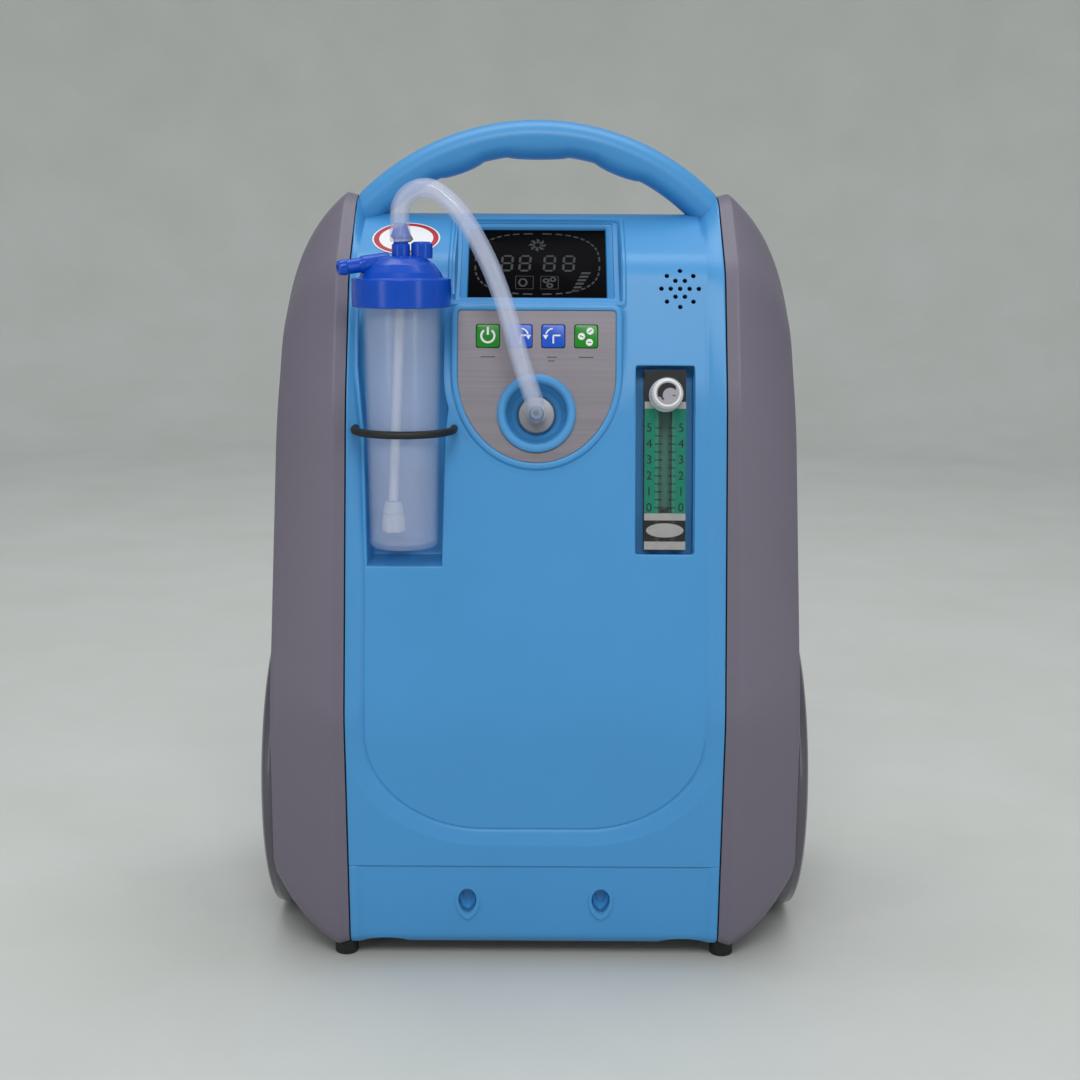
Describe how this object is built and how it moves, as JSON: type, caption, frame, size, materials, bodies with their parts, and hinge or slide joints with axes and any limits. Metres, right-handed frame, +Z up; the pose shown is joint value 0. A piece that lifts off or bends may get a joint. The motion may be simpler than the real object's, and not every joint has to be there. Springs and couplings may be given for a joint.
{
  "type": "oxygen concentrator",
  "caption": "Upright wheeled oxygen concentrator with an arched handle, console, flowmeter, hung humidifier bottle and a pull handle behind.",
  "frame": {"origin": "on the floor under the middle of the whole object's box", "axes": "+Z up, -Y out of the console's front face, +X to the side with the flowmeter"},
  "size_m": [0.352, 0.244, 0.534],
  "materials": {
    "blue_case": "satin light blue moulding",
    "grey_case": "fine textured purple-grey moulding",
    "dark_plastic": "dark moulding",
    "tyre_rubber": "smooth dark grey tyre",
    "black_rubber": "black rubber",
    "display_glass": "glossy black window",
    "board": "circuit board",
    "brushed_plate": "horizontally brushed",
    "green_key": "printed key",
    "blue_key": "printed key",
    "fitting_metal": "satin",
    "clear_acrylic": "clear polished acrylic",
    "scale_green": "printed scale",
    "float_black": "black float",
    "knob_white": "white ribbed knob",
    "milky_plastic": "milky translucent",
    "royal_plastic": "glossy royal blue",
    "label_white": "printed label",
    "steel": "drawn steel",
    "cast_metal": "sand cast",
    "alloy": "satin alloy",
    "tank_plastic": "blow moulded",
    "copper": "drawn copper tube",
    "filter_foam": "open cell foam",
    "red_button": "red button"
  },
  "bodies": {
    "casing": {"front_cover": "blue_case", "lower_front_panel": "blue_case", "rear_cover": "blue_case", "base_tray": "dark_plastic", "left_side_shell": "grey_case", "right_side_shell": "grey_case", "carry_handle": "blue_case", "display_window": "display_glass", "display_board": "board", "control_plate": "brushed_plate", "keypad_board": "board", "outlet_cup": "blue_case", "outlet_fitting": "fitting_metal", "buzzer": "dark_plastic", "flowmeter_body": "clear_acrylic", "flowmeter_scale": "scale_green", "humidifier_bottle": "milky_plastic", "humidifier_lid": "royal_plastic", "filler_cap": "royal_plastic", "dip_tube": "milky_plastic", "diffuser": "milky_plastic", "bottle_strap": "black_rubber", "connecting_hose": "milky_plastic", "notice_label": "label_white", "front_feet": "black_rubber", "left_axle": "steel", "right_axle": "steel", "compressor": "cast_metal", "compressor_heads": "alloy", "compressor_mounts": "black_rubber", "sieve_beds": "alloy", "valve_block": "alloy", "product_tank": "tank_plastic", "cooling_coil": "copper", "fan_frame": "dark_plastic", "inner_hoses": "milky_plastic", "control_board": "board", "power_supply": "steel", "intake_muffler": "dark_plastic", "filter_pad": "filter_foam", "mains_inlet": "dark_plastic", "pull_sleeves": "steel"},
    "left_wheel": {"left_tyre": "tyre_rubber", "left_wheel_hub": "grey_case", "left_hub_cap": "dark_plastic"},
    "right_wheel": {"right_tyre": "tyre_rubber", "right_wheel_hub": "grey_case", "right_hub_cap": "dark_plastic"},
    "power_key": {"power_key": "green_key"},
    "time_up_key": {"time_up_key": "blue_key"},
    "time_down_key": {"time_down_key": "blue_key"},
    "anion_key": {"anion_key": "green_key"},
    "flow_float": {"flowmeter_float": "float_black"},
    "flow_knob": {"flowmeter_knob": "knob_white"},
    "fan": {"fan_impeller": "dark_plastic"},
    "filter_door": {"filter_door": "grey_case"},
    "reset_button": {"reset_button": "red_button"},
    "pull_handle": {"pull_tubes": "alloy", "pull_grip": "dark_plastic"}
  },
  "joints": [
    {"name": "left_wheel_roll", "type": "hinge", "parent": "casing", "child": "left_wheel", "pos_m": [-0.162, 0.009, 0.101], "axis": [1, 0, 0], "continuous": true},
    {"name": "right_wheel_roll", "type": "hinge", "parent": "casing", "child": "right_wheel", "pos_m": [0.162, 0.009, 0.101], "axis": [1, 0, 0], "continuous": true},
    {"name": "power_key_press", "type": "slide", "parent": "casing", "child": "power_key", "axis": [0, 0.9744, -0.225], "range_m": [0, 0.0008], "stiffness_N_per_m": 700, "springref_m": -0.0015},
    {"name": "time_up_key_press", "type": "slide", "parent": "casing", "child": "time_up_key", "axis": [0, 0.9744, -0.225], "range_m": [0, 0.0008], "stiffness_N_per_m": 700, "springref_m": -0.0015},
    {"name": "time_down_key_press", "type": "slide", "parent": "casing", "child": "time_down_key", "axis": [0, 0.9744, -0.225], "range_m": [0, 0.0008], "stiffness_N_per_m": 700, "springref_m": -0.0015},
    {"name": "anion_key_press", "type": "slide", "parent": "casing", "child": "anion_key", "axis": [0, 0.9744, -0.225], "range_m": [0, 0.0008], "stiffness_N_per_m": 700, "springref_m": -0.0015},
    {"name": "float_rise", "type": "slide", "parent": "casing", "child": "flow_float", "axis": [0, 0.1822, 0.9833], "range_m": [0, 0.0495]},
    {"name": "flow_knob_turn", "type": "hinge", "parent": "casing", "child": "flow_knob", "pos_m": [0.0799, -0.07931, 0.36283], "axis": [0, -0.9833, 0.1822], "range_deg": [0, 720]},
    {"name": "fan_spin", "type": "hinge", "parent": "casing", "child": "fan", "pos_m": [0, 0.1, 0.105], "axis": [0, 1, 0], "continuous": true},
    {"name": "filter_door_swing", "type": "hinge", "parent": "casing", "child": "filter_door", "pos_m": [0, 0.114, 0.335], "axis": [1, 0, 0], "range_deg": [0, 95]},
    {"name": "reset_button_press", "type": "slide", "parent": "casing", "child": "reset_button", "axis": [0, -1, 0], "range_m": [0, 0.002], "stiffness_N_per_m": 800, "springref_m": -0.0015},
    {"name": "pull_handle_slide", "type": "slide", "parent": "casing", "child": "pull_handle", "axis": [0, 0, 1], "range_m": [0, 0.3]}
  ]
}
